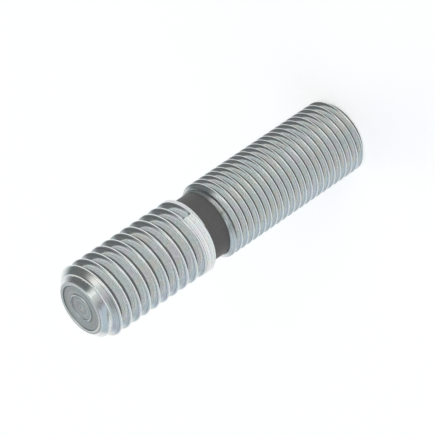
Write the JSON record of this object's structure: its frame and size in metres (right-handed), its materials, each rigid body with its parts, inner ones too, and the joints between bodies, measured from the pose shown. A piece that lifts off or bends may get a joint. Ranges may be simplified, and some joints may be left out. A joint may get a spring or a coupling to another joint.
{
  "type": "double ended stud",
  "caption": "Straight steel stud with a coarse thread on one end and a fine thread on the other, parted by a plain turned neck.",
  "frame": {"origin": "centre of the flat end face of the fine thread, on which the stud stands", "axes": "+Z along the stud's axis, from the fine end up to the coarse end; X and Y are across it"},
  "size_m": [0.0126, 0.0126, 0.0551],
  "materials": {
    "plated_steel": "bright zinc plate over machined steel"
  },
  "bodies": {
    "root": {"stud": "plated_steel"}
  },
  "joints": []
}
